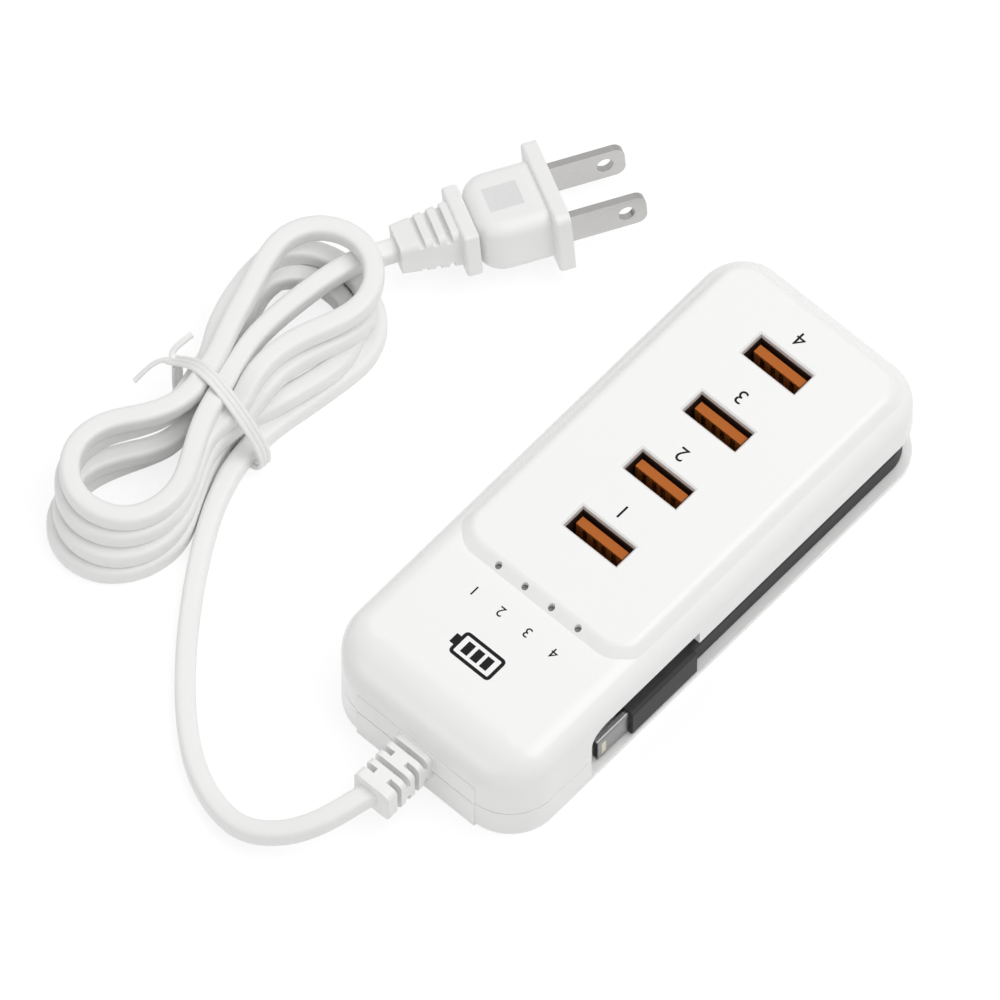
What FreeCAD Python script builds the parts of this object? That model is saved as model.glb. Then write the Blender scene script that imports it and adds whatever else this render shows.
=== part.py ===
import FreeCAD, Part

import math
import os
from types import SimpleNamespace

import Sketcher
from FreeCAD import Placement, Rotation, Vector

# A four-port USB charger strip with a mains lead, its plug, and a short charge lead stowed in a side groove.
# Frame: origin under the middle of the body, +X towards the end away from the mains lead, +Z up.
# The charge lead's groove is on the -Y side.

# Driving sizes in millimetres
sizes = {
    # Housing
    "body_length": 112.0,
    "body_width": 47.2,
    "body_height": 22.5,
    "wall": 1.6,
    "parting_height": 8.0,
    "near_corner": 10.0,
    "far_corner": 9.0,
    "near_round": 9.0,
    "side_round": 5.0,
    "far_round": 4.0,
    "base_round": 0.8,
    "panel_proud": 0.3,
    "panel_width": 28.4,
    "panel_drop": 0.1,
    "panel_round": 0.25,
    "seam_width": 0.25,
    "seam_depth": 0.25,
    # Raised plateau that carries the ports
    "plateau_rise": 1.5,
    "shelf_length": 33.8,
    "plateau_side_gap": 4.1,
    "plateau_far_gap": 3.5,
    "plateau_corner": 5.0,
    "plateau_depth": 3.6,
    "plateau_side_run": 2.65,
    "plateau_near_run": 5.3,
    "plateau_foot_corner": 7.0,
    "plateau_round": 2.0,
    # Side groove for the charge lead
    "groove_depth": 4.7,
    "groove_floor": 1.8,
    "channel_top": 12.4,
    "channel_end": 3.0,
    "pocket_top": 16.2,
    "pocket_near": 20.8,
    "pocket_length": 28.7,
    "pocket_round": 4.0,
    # Housing screws, from below
    "post_radius": 3.0,
    "screw_radius": 1.2,
    "screw_length": 12.0,
    "screw_head_radius": 2.3,
    "screw_head_height": 1.7,
    "screw_sink": 1.6,
    "screw_near_inset": 8.5,
    "screw_far_inset": 11.2,
    "screw_side_inset": 6.2,
    "screw_groove_inset": 10.7,
    # Circuit board
    "board_thickness": 1.6,
    "board_near_inset": 12.0,
    "board_far_inset": 6.6,
    "board_side_gap": 0.8,
    "board_groove_gap": 0.5,
    "board_corner": 2.0,
    "standoff_radius": 2.0,
    # USB sockets
    "port_near_margin": 15.2,
    "port_far_margin": 12.1,
    "port_opening": 12.5,
    "port_gap": 5.12,
    "port_depth": 14.0,
    "port_sheet": 0.3,
    "port_window_gap": 0.1,
    "port_rim": 0.35,
    "tongue_width": 11.1,
    "tongue_thickness": 1.84,
    "tongue_back_gap": 0.9,
    "tongue_drop": 0.4,
    "insulator_height": 3.0,
    "contact_width": 1.0,
    "contact_thickness": 0.3,
    "contact_slot_depth": 0.4,
    "contact_slot_width": 1.2,
    "contact_inner": 1.0,
    "contact_outer": 3.5,
    "contact_tip_gap": 1.2,
    # Indicator lights
    "light_pitch": 6.35,
    "light_radius": 0.6,
    "light_run": 1.1,
    "light_sink": 0.3,
    "led_length": 1.6,
    "led_width": 0.8,
    "led_height": 0.6,
    # Parts on the board
    "transformer_length": 14.0,
    "transformer_width": 15.0,
    "transformer_height": 12.0,
    "core_limb": 3.0,
    "bobbin_flange": 1.0,
    "bulk_radius": 4.0,
    "bulk_height": 11.5,
    "output_radius": 3.15,
    "output_height": 9.0,
    "bead_round": 0.5,
    "fuse_radius": 1.7,
    "fuse_length": 9.0,
    "film_length": 12.0,
    "film_width": 5.0,
    "film_height": 9.0,
    "choke_ring": 1.9,
    "choke_wire": 1.1,
    "bridge_length": 5.5,
    "bridge_width": 6.0,
    "bridge_height": 2.6,
    "chip_length": 5.0,
    "chip_width": 4.0,
    "chip_height": 1.5,
    "diode_length": 7.0,
    "diode_width": 4.5,
    "diode_height": 2.4,
    "transformer_inset": 11.0,
    "film_inset": 8.0,
    "film_side": 8.0,
    "fuse_inset": 8.5,
    "fuse_side": 2.8,
    "choke_inset": 8.0,
    "bridge_inset": 16.2,
    "chip_inset": 27.5,
    "low_side": 3.4,
    "can_side": 7.3,
    "output_side": 4.2,
    "standoff_near": 4.0,
    "standoff_far": 17.4,
    "standoff_side": 4.3,
    "lead_radius": 0.8,
    "lead_reach_low": 7.7,
    "lead_reach_high": 4.9,
    # Mains lead and its strain relief
    "cord_width": 4.1,
    "cord_thickness": 3.8,
    "grip_height": 8.8,
    "grip_length": 11.4,
    "grip_width": 8.4,
    "grip_depth": 8.2,
    "grip_neck": 6.4,
    "grip_flange": 9.0,
    "grip_flange_thickness": 2.0,
    "grip_collar": 1.2,
    "grip_slot": 1.1,
    "grip_rib": 1.2,
    "grip_core": 3.0,
    "grip_round": 1.4,
    # Tied hank of the mains lead
    "hank_height": 16.4,
    "hank_near_x": -50.5,
    "hank_far_x": 1.5,
    "hank_axis_y": 75.2,
    "hank_loop_radius": 12.3,
    "hank_bundle": 6.0,
    "waist_x": -26.5,
    "waist_length": 7.0,
    "waist_low_y": 64.3,
    "waist_high_y": 83.2,
    "waist_neck": 4.5,
    "tie_width": 2.0,
    "tie_thickness": 0.8,
    "tie_tail": 7.0,
    # Mains plug
    "plug_x": 44.4,
    "plug_y": 57.1,
    "plug_turn": -29.5,
    "plug_roll": -14.0,
    "flange_thickness": 2.9,
    "flange_width": 21.5,
    "flange_height": 14.0,
    "flange_corner": 1.5,
    "flange_edge": 0.6,
    "barrel_length": 13.3,
    "barrel_width": 16.4,
    "barrel_height": 11.6,
    "barrel_shoulder": 5.0,
    "barrel_round": 2.6,
    "thumb_length": 6.5,
    "thumb_width": 6.0,
    "thumb_sink": 0.3,
    "collar_thickness": 3.0,
    "collar_width": 14.0,
    "collar_height": 10.2,
    "relief_length": 11.0,
    "relief_root_width": 9.8,
    "relief_root_height": 8.8,
    "relief_tip_width": 7.4,
    "relief_tip_height": 7.0,
    "relief_slot": 1.1,
    "relief_slot_depth": 1.5,
    "relief_slot_pitch": 2.5,
    "blade_pitch": 12.7,
    "blade_length": 15.0,
    "blade_root": 6.0,
    "blade_height": 6.35,
    "blade_thickness": 1.5,
    "blade_hole_radius": 1.55,
    "blade_hole_reach": 11.2,
    "blade_tip_round": 2.0,
    "tail_length": 4.0,
    # Charge lead
    "cable_thickness": 2.3,
    "cable_height": 5.5,
    "cable_round": 0.8,
    "cable_inner_length": 4.5,
    "boot_length": 17.1,
    "boot_height": 7.5,
    "boot_thickness": 4.0,
    "boot_round": 0.8,
    "tip_length": 8.2,
    "tip_width": 6.3,
    "tip_thickness": 1.5,
    "tip_round": 0.6,
    "tip_inset": 1.0,
    "tip_sheet": 0.25,
    "pad_length": 1.1,
    "pad_height": 0.3,
    "pad_pitch": 0.44,
    "pad_thickness": 0.12,
    "pad_tip_gap": 0.9,
    # Clearances
    "fit_gap": 0.1,
    "loose_gap": 0.3,
}

# Route of the mains lead over the floor, from its strain relief to the hank
lead_route = [
    (-67.4, 0.0, 8.8),
    (-72.2, 1.2, 8.0),
    (-77.2, 4.2, 6.9),
    (-82.4, 8.3, 5.4),
    (-85.4, 14.0, 4.0),
    (-85.0, 21.0, 2.75),
    (-81.8, 29.4, 2.05),
    (-75.6, 37.4, 2.05),
    (-66.6, 45.8, 2.05),
    (-56.8, 53.3, 2.05),
    (-46.3, 60.0, 2.05),
    (-37.8, 64.5, 2.05),
    (-30.3, 67.2, 2.05),
]

doc = FreeCAD.newDocument("usb_power_strip")
sheet = doc.addObject("Spreadsheet::Sheet", "sizes")
for row, (alias, number) in enumerate(sizes.items(), start=1):
    sheet.set(f"A{row}", alias)
    sheet.set(f"B{row}", str(number))
    sheet.setAlias(f"B{row}", alias)
doc.recompute()


class Size:
    # A length with the expression that gives it from the sheet
    def __init__(self, text, value):
        self.text = text
        self.value = value

    def __float__(self):
        return float(self.value)

    def join(self, sign, other, value):
        return Size(f"({self.text} {sign} {as_size(other).text})", value)

    def __add__(self, other):
        return self.join("+", other, self.value + float(other))

    def __sub__(self, other):
        return self.join("-", other, self.value - float(other))

    def __mul__(self, other):
        return self.join("*", other, self.value * float(other))

    def __truediv__(self, other):
        return self.join("/", other, self.value / float(other))

    def __neg__(self):
        return self * -1

    def __radd__(self, other):
        return self + other

    def __rsub__(self, other):
        return -self + other

    def __rmul__(self, other):
        return self * other


def as_size(number):
    return number if isinstance(number, Size) else Size(f"({float(number)})", float(number))


d = SimpleNamespace(**{alias: Size(f"sizes.{alias}", getattr(sheet, alias)) for alias in sizes})
nodes = []


def bind(item, path, size):
    item.setExpression(path, as_size(size).text)


def place(item, x, y, z):
    for axis, at in zip("xyz", (x, y, z)):
        bind(item, f".Placement.Base.{axis}", at)


def node(item, name):
    # Hand a finished object over as the sub-part of that name
    item.Label = name
    nodes.append((name, item))
    return item


def around(middle, width):
    return (middle - width / 2, middle + width / 2)


def add_box(name, x, y, z):
    item = doc.addObject("Part::Box", name)
    for path, (low, high) in zip(("Length", "Width", "Height"), (x, y, z)):
        bind(item, path, as_size(high) - low)
    place(item, x[0], y[0], z[0])
    return item


def add_cylinder(name, radius, foot, height, along=Vector(0, 0, 1)):
    item = doc.addObject("Part::Cylinder", name)
    bind(item, "Radius", radius)
    bind(item, "Height", height)
    item.Placement = Placement(Vector(), Rotation(Vector(0, 0, 1), along))
    place(item, *foot)
    return item


def fuse(name, *items):
    item = doc.addObject("Part::MultiFuse", name)
    item.Shapes = list(items)
    return item


def cut(name, base, *tools):
    item = doc.addObject("Part::Cut", name)
    item.Base = base
    item.Tool = tools[0] if len(tools) == 1 else fuse(name + "_tools", *tools)
    return item


def common(name, *items):
    item = doc.addObject("Part::MultiCommon", name)
    item.Shapes = list(items)
    return item


def dress(kind, name, base, size, chosen):
    # Fillet or chamfer the edges that the chosen test picks by their geometry
    doc.recompute()
    item = doc.addObject(kind, name)
    item.Base = base
    picked = [number for number, edge in enumerate(base.Shape.Edges, start=1) if chosen(edge)]
    item.Edges = [(number, float(size), float(size)) for number in picked]
    return item


def fillet(name, base, size, chosen):
    return dress("Part::Fillet", name, base, size, chosen)


def chamfer(name, base, size, chosen):
    return dress("Part::Chamfer", name, base, size, chosen)


def near(number, target):
    return abs(float(number) - float(target)) < 1e-4


def along(edge, axis):
    # True for a straight edge that runs along that axis
    if edge.Curve.TypeId != "Part::GeomLine":
        return False
    return abs(abs(getattr(edge.Curve.Direction, axis)) - 1) < 1e-6


def at_height(edge, z):
    return near(edge.BoundBox.ZMin, z) and near(edge.BoundBox.ZMax, z)


def rounded_sketch(body, name, height, x, y, corners):
    # Rectangle with one corner radius at its low-X end and one at its high-X end
    sketch = body.newObject("Sketcher::SketchObject", name)
    plane = next(item for item in body.Origin.OriginFeatures if item.Role == "XY_Plane")
    sketch.AttachmentSupport = [(plane, "")]
    sketch.MapMode = "FlatFace"
    bind(sketch, ".AttachmentOffset.Base.z", height)
    x0, x1, y0, y1 = float(x[0]), float(x[1]), float(y[0]), float(y[1])
    r0, r1 = float(corners[0]), float(corners[1])
    ends = [
        (Vector(x0 + r0, y0), Vector(x1 - r1, y0)),
        (Vector(x1, y0 + r1), Vector(x1, y1 - r1)),
        (Vector(x1 - r1, y1), Vector(x0 + r0, y1)),
        (Vector(x0, y1 - r0), Vector(x0, y0 + r0)),
    ]
    middles = [
        Vector(x1 - r1, y0 + r1),
        Vector(x1 - r1, y1 - r1),
        Vector(x0 + r0, y1 - r0),
        Vector(x0 + r0, y0 + r0),
    ]
    radii = [r1, r1, r0, r0]
    for side in range(4):
        sketch.addGeometry(Part.LineSegment(*ends[side]), False)
        circle = Part.Circle(middles[side], Vector(0, 0, 1), radii[side])
        start = (side - 1) * math.pi / 2
        sketch.addGeometry(Part.ArcOfCircle(circle, start, start + math.pi / 2), False)
    for side in range(4):
        line, arc, after = 2 * side, 2 * side + 1, (2 * side + 2) % 8
        sketch.addConstraint(Sketcher.Constraint("Tangent", line, 2, arc, 1))
        sketch.addConstraint(Sketcher.Constraint("Tangent", arc, 2, after, 1))
    sketch.addConstraint(Sketcher.Constraint("Horizontal", 0))
    sketch.addConstraint(Sketcher.Constraint("Vertical", 2))
    sketch.addConstraint(Sketcher.Constraint("Horizontal", 4))
    sketch.addConstraint(Sketcher.Constraint("Vertical", 6))
    sketch.addConstraint(Sketcher.Constraint("Equal", 1, 3))
    sketch.addConstraint(Sketcher.Constraint("Equal", 5, 7))
    drives = [
        ("DistanceX", 6, x[0], x0),
        ("DistanceX", 2, x[1], x1),
        ("DistanceY", 0, y[0], y0),
        ("DistanceY", 4, y[1], y1),
    ]
    for kind, line, size, value in drives:
        number = sketch.addConstraint(Sketcher.Constraint(kind, line, 1, value))
        bind(sketch, f"Constraints[{number}]", size)
    for arc, size in ((1, corners[1]), (5, corners[0])):
        number = sketch.addConstraint(Sketcher.Constraint("Radius", arc, float(size)))
        bind(sketch, f"Constraints[{number}]", size)
    return sketch


def rounded_pad(name, x, y, z, corners):
    body = doc.addObject("PartDesign::Body", name)
    sketch = rounded_sketch(body, name + "_plan", z[0], x, y, corners)
    pad = body.newObject("PartDesign::Pad", name + "_pad")
    pad.Profile = sketch
    bind(pad, "Length", as_size(z[1]) - z[0])
    return body


# Housing envelope

far_x = d.body_length / 2
near_x = -far_x + d.panel_proud
half_width = d.body_width / 2


def housing_block(name, inset, low, high, base_round):
    # The housing's outline, moved in by inset, with a large rounding over the cord end
    block = rounded_pad(
        name,
        (near_x + inset, far_x - inset),
        (-half_width + inset, half_width - inset),
        (low, high),
        (d.near_corner - inset, d.far_corner - inset),
    )
    doc.recompute()
    rounded = doc.addObject("Part::Fillet", name + "_rounded")
    rounded.Base = block
    rounds = {"near": d.near_round, "side": d.side_round, "far": d.far_round}
    radii = {name: float(size - inset) for name, size in rounds.items()}

    def zone(point):
        if near(point.x, near_x + inset):
            return "near"
        return "far" if near(point.x, far_x - inset) else "side"

    edges = []
    for number, edge in enumerate(block.Shape.Edges, start=1):
        if at_height(edge, high):
            first, last = edge.firstVertex().Point, edge.lastVertex().Point
            edges.append((number, radii[zone(first)], radii[zone(last)]))
        elif base_round is not None and at_height(edge, low):
            edges.append((number, float(base_round), float(base_round)))
    rounded.Edges = edges
    return rounded


plateau_far = far_x - d.plateau_far_gap
plateau_near = -far_x + d.shelf_length
plateau_top = d.body_height + d.plateau_rise
plateau_foot = plateau_top - d.plateau_depth
plateau_half = half_width - d.plateau_side_gap


def plateau_loft():
    body = doc.addObject("PartDesign::Body", "plateau")
    foot = rounded_sketch(
        body,
        "plateau_foot",
        plateau_foot,
        (plateau_near - d.plateau_near_run, plateau_far + d.plateau_side_run),
        (-plateau_half - d.plateau_side_run, plateau_half + d.plateau_side_run),
        (d.plateau_foot_corner, d.plateau_foot_corner),
    )
    top = rounded_sketch(
        body,
        "plateau_top",
        plateau_top,
        (plateau_near, plateau_far),
        (-plateau_half, plateau_half),
        (d.plateau_corner, d.plateau_corner),
    )
    loft = body.newObject("PartDesign::AdditiveLoft", "plateau_slopes")
    loft.Profile = foot
    loft.Sections = [top]
    loft.Ruled = True
    return body


def end_panel():
    # Flat raised panel round the cord inlet
    panel_top = d.body_height - d.near_round - d.panel_drop
    panel = add_box(
        "panel",
        (-far_x, near_x + d.near_corner),
        around(as_size(0), d.panel_width),
        (0, panel_top),
    )
    return fillet(
        "panel_soft",
        panel,
        d.panel_round,
        lambda edge: near(edge.BoundBox.XMax, -far_x) and edge.BoundBox.ZMax > 1e-4,
    )


outer_block = housing_block("block", as_size(0), as_size(0), d.body_height, d.base_round)
outer_form = fuse("outer_form", outer_block, plateau_loft(), end_panel())
envelope = fillet("envelope", outer_form, d.plateau_round, lambda edge: at_height(edge, plateau_top))

# Side groove: a pocket for the plug, and a channel that runs on round the far corner

past = d.body_width
groove_back = -half_width + d.groove_depth
pocket_near_x = -far_x + d.pocket_near
pocket_far_x = pocket_near_x + d.pocket_length


def corner_core(name, inset):
    # Everything further in than inset from the groove side and the far end
    box = add_box(
        name + "_box",
        (-far_x - past, far_x - inset),
        (-half_width + inset, half_width + past),
        (-past, plateau_top + past),
    )

    def corner(edge):
        at_far_end = near(edge.BoundBox.XMax, far_x - inset)
        return along(edge, "z") and at_far_end and edge.BoundBox.YMax < 0

    return fillet(name, box, d.far_corner - inset, corner)


def groove_tool(name, grow):
    # The groove's space, or with grow the block that keeps a wall round it
    channel = cut(
        name + "_channel",
        add_box(
            name + "_run",
            (pocket_near_x - grow, far_x + past),
            (-half_width - past, -d.channel_end + grow),
            (d.groove_floor - grow, d.channel_top + grow),
        ),
        corner_core(name + "_core", d.groove_depth + grow),
    )
    pocket = add_box(
        name + "_pocket",
        (pocket_near_x - grow, pocket_far_x + grow),
        (-half_width - past, groove_back + grow),
        (d.groove_floor - grow, d.pocket_top + grow),
    )
    if near(grow, 0):

        def upper(edge):
            at_near_end = near(edge.BoundBox.XMax, pocket_near_x)
            return along(edge, "y") and at_near_end and edge.BoundBox.ZMax > float(d.channel_top)

        pocket = fillet(name + "_pocket_soft", pocket, d.pocket_round, upper)
        end = add_box(
            name + "_end",
            (pocket_near_x - past, pocket_near_x + d.pocket_round),
            (-half_width - past, groove_back + past),
            (d.groove_floor - past, d.pocket_top + past),
        )
        channel = cut(name + "_channel_open", channel, end)
    return fuse(name, channel, pocket)


groove = groove_tool("groove", as_size(0))
groove_walls = groove_tool("groove_walls", d.wall)

# Housing shells

screw_x = {"near": -far_x + d.screw_near_inset, "far": far_x - d.screw_far_inset}
screw_places = [
    (screw_x["near"], half_width - d.screw_side_inset),
    (screw_x["near"], -half_width + d.screw_side_inset),
    (screw_x["far"], half_width - d.screw_side_inset),
    (screw_x["far"], -half_width + d.screw_groove_inset),
]
ceiling = plateau_top - d.wall
board_top = ceiling - d.port_depth
board_low = board_top - d.board_thickness
port_pitch = (plateau_far - plateau_near - d.port_near_margin - d.port_far_margin) / 3
port_places = [plateau_near + d.port_near_margin + port_pitch * number for number in range(4)]
light_x = plateau_near - d.light_run
light_places = [d.light_pitch * (number - 1.5) for number in range(4)]
light_drop = (d.light_run + d.light_radius) * d.plateau_depth / d.plateau_near_run
light_top = plateau_top - light_drop - d.light_sink
board_x = (-far_x + d.board_near_inset, far_x - d.board_far_inset)
board_y = (groove_back + d.wall + d.board_groove_gap, half_width - d.wall - d.board_side_gap)
standoff_places = [
    (x, y)
    for x in (board_x[0] + d.standoff_near, board_x[1] - d.standoff_far)
    for y in (board_y[0] + d.standoff_side, board_y[1] - d.standoff_side)
]
grip_low, grip_high = around(d.grip_height, d.grip_neck)
cable_outer = d.wall + d.fit_gap
cable_inner = cable_outer + d.cable_thickness


def screw_posts():
    return [
        add_cylinder(f"post_{number}", d.post_radius, (x, y, as_size(0)), plateau_top)
        for number, (x, y) in enumerate(screw_places, start=1)
    ]


def standoffs():
    # Pillars under the board, which grow out of the bottom housing
    foot = d.wall / 2
    return [
        add_cylinder(f"standoff_{number}", d.standoff_radius, (x, y, foot), board_low - foot)
        for number, (x, y) in enumerate(standoff_places, start=1)
    ]


def screw_holes():
    holes = []
    for number, (x, y) in enumerate(screw_places, start=1):
        head_top = d.screw_sink + d.screw_head_height
        head_room = d.screw_head_radius + d.loose_gap
        shank_room = d.screw_radius + d.fit_gap
        thread_room = d.screw_radius + d.fit_gap / 2
        deep = head_top + d.screw_length + d.fit_gap
        holes += [
            add_cylinder(f"counterbore_{number}", head_room, (x, y, -d.wall), d.wall + head_top),
            add_cylinder(f"clearance_{number}", shank_room, (x, y, as_size(0)), d.parting_height),
            add_cylinder(f"pilot_{number}", thread_room, (x, y, as_size(0)), deep),
        ]
    return holes


def seam():
    # Narrow step all round the bottom housing's rim, which shows as the parting line
    z = (d.parting_height - d.seam_width, d.parting_height)
    outside = add_box(
        "seam_outside",
        (-far_x - past, far_x + past),
        (-half_width - past, half_width + past),
        z,
    )
    inside = rounded_pad(
        "seam_inside",
        (near_x + d.seam_depth, far_x - d.seam_depth),
        (-half_width + d.seam_depth, half_width - d.seam_depth),
        z,
        (d.near_corner - d.seam_depth, d.far_corner - d.seam_depth),
    )
    return cut("seam", outside, inside)


def openings():
    # Port windows, indicator holes, cord inlet and the hole where the charge cable goes in
    tools = []
    for number, x in enumerate(port_places, start=1):
        tools.append(
            add_box(
                f"window_{number}",
                around(x, d.port_gap + d.port_window_gap * 2),
                around(as_size(0), d.port_opening + d.port_window_gap * 2),
                (ceiling - d.wall, plateau_top + d.wall),
            )
        )
    for number, y in enumerate(light_places, start=1):
        foot = (light_x, y, d.body_height - d.wall * 2)
        tools.append(add_cylinder(f"light_hole_{number}", d.light_radius + d.fit_gap / 2, foot, d.wall * 4))
    tools.append(
        add_box(
            "cord_inlet",
            (-far_x - d.wall, near_x + d.wall * 2),
            around(as_size(0), d.grip_neck + d.fit_gap * 2),
            (grip_low - d.fit_gap, grip_high + d.fit_gap),
        )
    )
    tools.append(
        add_box(
            "cable_inlet",
            (far_x - cable_inner - d.fit_gap, far_x - cable_outer + d.fit_gap),
            (-d.channel_end - d.wall, -d.channel_end + d.wall * 2),
            (d.groove_floor, d.groove_floor + d.cable_height + d.fit_gap),
        )
    )
    return tools


def housing():
    hollow = housing_block("hollow", d.wall, d.wall, d.body_height - d.wall, None)
    loft_room = add_box(
        "plateau_room",
        (plateau_near + d.wall, plateau_far - d.wall),
        (-plateau_half + d.wall, plateau_half - d.wall),
        (d.body_height - d.wall * 2, ceiling),
    )
    space = cut("space", fuse("hollow_all", hollow, loft_room), groove_walls, *screw_posts())
    shell = cut("shell", envelope, space, groove, *screw_holes(), *openings())
    beyond = (-far_x - past, far_x + past)
    sideways = (-half_width - past, half_width + past)
    upper = add_box("upper_half", beyond, sideways, (d.parting_height, plateau_top + past))
    lower = add_box("lower_half", beyond, sideways, (-past, d.parting_height))
    tray = cut("bottom_shell", common("bottom_half", shell, lower), seam())
    node(fuse("bottom_tray", tray, *standoffs()), "bottom_housing")
    top = common("top_shell", shell, upper)

    def window_rim(edge):
        inside = abs(edge.BoundBox.Center.y) < float(d.port_opening)
        short = edge.Length < float(d.port_opening) + 1
        straight = along(edge, "x") or along(edge, "y")
        return at_height(edge, plateau_top) and inside and short and straight

    node(chamfer("top_shell_rims", top, d.port_rim, window_rim), "top_housing")


def housing_screws():
    screws = []
    slot_z = (d.screw_sink - d.wall, d.screw_sink + d.screw_head_height / 2)
    long_way, short_way = d.screw_radius * 2, d.screw_radius / 2
    shank_height = d.screw_head_height + d.screw_length
    for number, (x, y) in enumerate(screw_places, start=1):
        foot = (x, y, d.screw_sink)
        head = add_cylinder(f"screw_head_{number}", d.screw_head_radius, foot, d.screw_head_height)
        shank = add_cylinder(f"screw_shank_{number}", d.screw_radius, foot, shank_height)
        slots = [
            add_box(f"screw_slot_a_{number}", around(x, long_way), around(y, short_way), slot_z),
            add_box(f"screw_slot_b_{number}", around(x, short_way), around(y, long_way), slot_z),
        ]
        blank = fuse(f"screw_blank_{number}", head, shank)
        screws.append(cut(f"screw_{number}", blank, *slots))
    node(fuse("screws", *screws), "housing_screws")


housing()
housing_screws()

# Circuit board


def main_board():
    blank = add_box("board_blank", board_x, board_y, (board_low, board_top))
    blank = fillet("board_cornered", blank, d.board_corner, lambda edge: along(edge, "z"))
    room, deep = d.post_radius + d.loose_gap, d.board_thickness + d.wall * 2
    holes = [
        add_cylinder(f"board_hole_{number}", room, (x, y, board_low - d.wall), deep)
        for number, (x, y) in enumerate(screw_places[2:], start=1)
    ]
    node(cut("board", blank, *holes), "main_board")


def usb_socket(number, x):
    shell_gap = d.port_gap + d.port_sheet * 2
    shell_width = d.port_opening + d.port_sheet * 2
    rise = (board_top, ceiling)
    sleeve = add_box(f"socket_sleeve_{number}", around(x, shell_gap), around(as_size(0), shell_width), rise)
    bore = add_box(f"socket_bore_{number}", around(x, d.port_gap), around(as_size(0), d.port_opening), rise)
    node(cut(f"socket_{number}", sleeve, bore), f"usb_shell_{number}")

    base_top = board_top + d.insulator_height
    tongue_far = x + d.port_gap / 2 - d.tongue_back_gap
    tongue_face = tongue_far - d.tongue_thickness
    tongue_top = ceiling - d.tongue_drop
    base = add_box(
        f"insulator_{number}",
        around(x, d.port_gap - d.fit_gap * 2),
        around(as_size(0), d.port_opening - d.fit_gap * 2),
        (board_top, base_top),
    )
    blade = add_box(
        f"tongue_{number}",
        (tongue_face, tongue_far),
        around(as_size(0), d.tongue_width),
        (board_top, tongue_top),
    )
    slots, contacts = [], []
    middles = [-d.contact_outer, -d.contact_inner, d.contact_inner, d.contact_outer]
    slot_floor = tongue_face + d.contact_slot_depth
    for place_number, y in enumerate(middles, start=1):
        mark = f"{number}_{place_number}"
        slots.append(
            add_box(
                f"contact_slot_{mark}",
                (tongue_face - d.contact_slot_depth, slot_floor),
                around(y, d.contact_slot_width),
                (base_top, tongue_top - d.contact_tip_gap / 2),
            )
        )
        contacts.append(
            add_box(
                f"contact_{mark}",
                (slot_floor - d.contact_thickness, slot_floor),
                around(y, d.contact_width),
                (base_top, tongue_top - d.contact_tip_gap),
            )
        )
    insulator = fuse(f"insulator_all_{number}", base, blade)
    node(cut(f"insulator_cut_{number}", insulator, *slots), f"usb_tongue_{number}")
    node(fuse(f"contacts_{number}", *contacts), f"usb_contacts_{number}")


def indicator(number, y):
    led_top = board_top + d.led_height
    led = add_box(
        f"lamp_{number}",
        around(light_x, d.led_length),
        around(y, d.led_width),
        (board_top, led_top),
    )
    node(led, f"status_led_{number}")
    pipe = add_cylinder(f"pipe_{number}", d.light_radius, (light_x, y, led_top), light_top - led_top)
    node(pipe, f"light_pipe_{number}")


main_board()
for number, x in enumerate(port_places, start=1):
    usb_socket(number, x)
for number, y in enumerate(light_places, start=1):
    indicator(number, y)

# Parts on the board, placed from its edges and from the sockets

transformer_at = (board_x[0] + d.transformer_inset, as_size(0))
bulk_capacitors_at = [(x, board_y[1] - d.can_side) for x in port_places[:2]]
output_capacitors_at = [(x, board_y[0] + d.output_side) for x in port_places[1:3]]
fuse_at = (board_x[0] + d.fuse_inset, board_y[1] - d.fuse_side)
film_capacitor_at = (board_x[0] + d.film_inset, board_y[1] - d.film_side)
choke_at = (board_x[0] + d.choke_inset, board_y[0] + d.low_side)
bridge_at = (board_x[0] + d.bridge_inset, board_y[0] + d.low_side)
chip_at = (board_x[0] + d.chip_inset, board_y[1] - d.film_side)
diode_at = (port_places[0], board_y[0] + d.low_side)


def on_board(name, place_at, length, width, height):
    x, y = place_at
    return add_box(name, around(x, length), around(y, width), (board_top, board_top + height))


def transformer():
    x, y = transformer_at
    size = (d.transformer_length, d.transformer_width, d.transformer_height)
    blank = on_board("core_blank", transformer_at, *size)
    inside = (board_top + d.core_limb, board_top + d.transformer_height - d.core_limb)
    outside = around(x, d.transformer_length * 2)
    reach = d.transformer_width / 2 - d.core_limb
    limb = d.core_limb / 2
    left = add_box("core_window_left", outside, (y - reach, y - limb), inside)
    right = add_box("core_window_right", outside, (y + limb, y + reach), inside)
    node(cut("core", blank, left, right), "transformer_core")
    spool = add_box("spool", around(x, d.transformer_length), around(y, reach * 2), inside)
    bore = add_box("spool_bore", outside, around(y, d.core_limb), inside)
    coil = (inside[0] + d.bobbin_flange, inside[1] - d.bobbin_flange)
    outer = add_box("coil_outer", outside, around(y, reach * 2 + d.core_limb), coil)
    inner = add_box(
        "coil_inner",
        around(x, d.transformer_length * 3),
        around(y, d.core_limb + d.bobbin_flange * 2),
        (coil[0] - d.core_limb, coil[1] + d.core_limb),
    )
    coil_room = cut("coil_room", outer, inner)
    bobbin_blank = cut("bobbin_blank", spool, bore)
    node(cut("bobbin", bobbin_blank, coil_room), "transformer_bobbin")
    node(common("winding", bobbin_blank, coil_room), "transformer_winding")


def standing_can(name, place_at, radius, height):
    x, y = place_at
    can = add_cylinder(name + "_can", radius, (x, y, board_top), height)
    top_rim = lambda edge: at_height(edge, board_top + height)
    node(fillet(name + "_bead", can, d.bead_round, top_rim), name)


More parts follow.
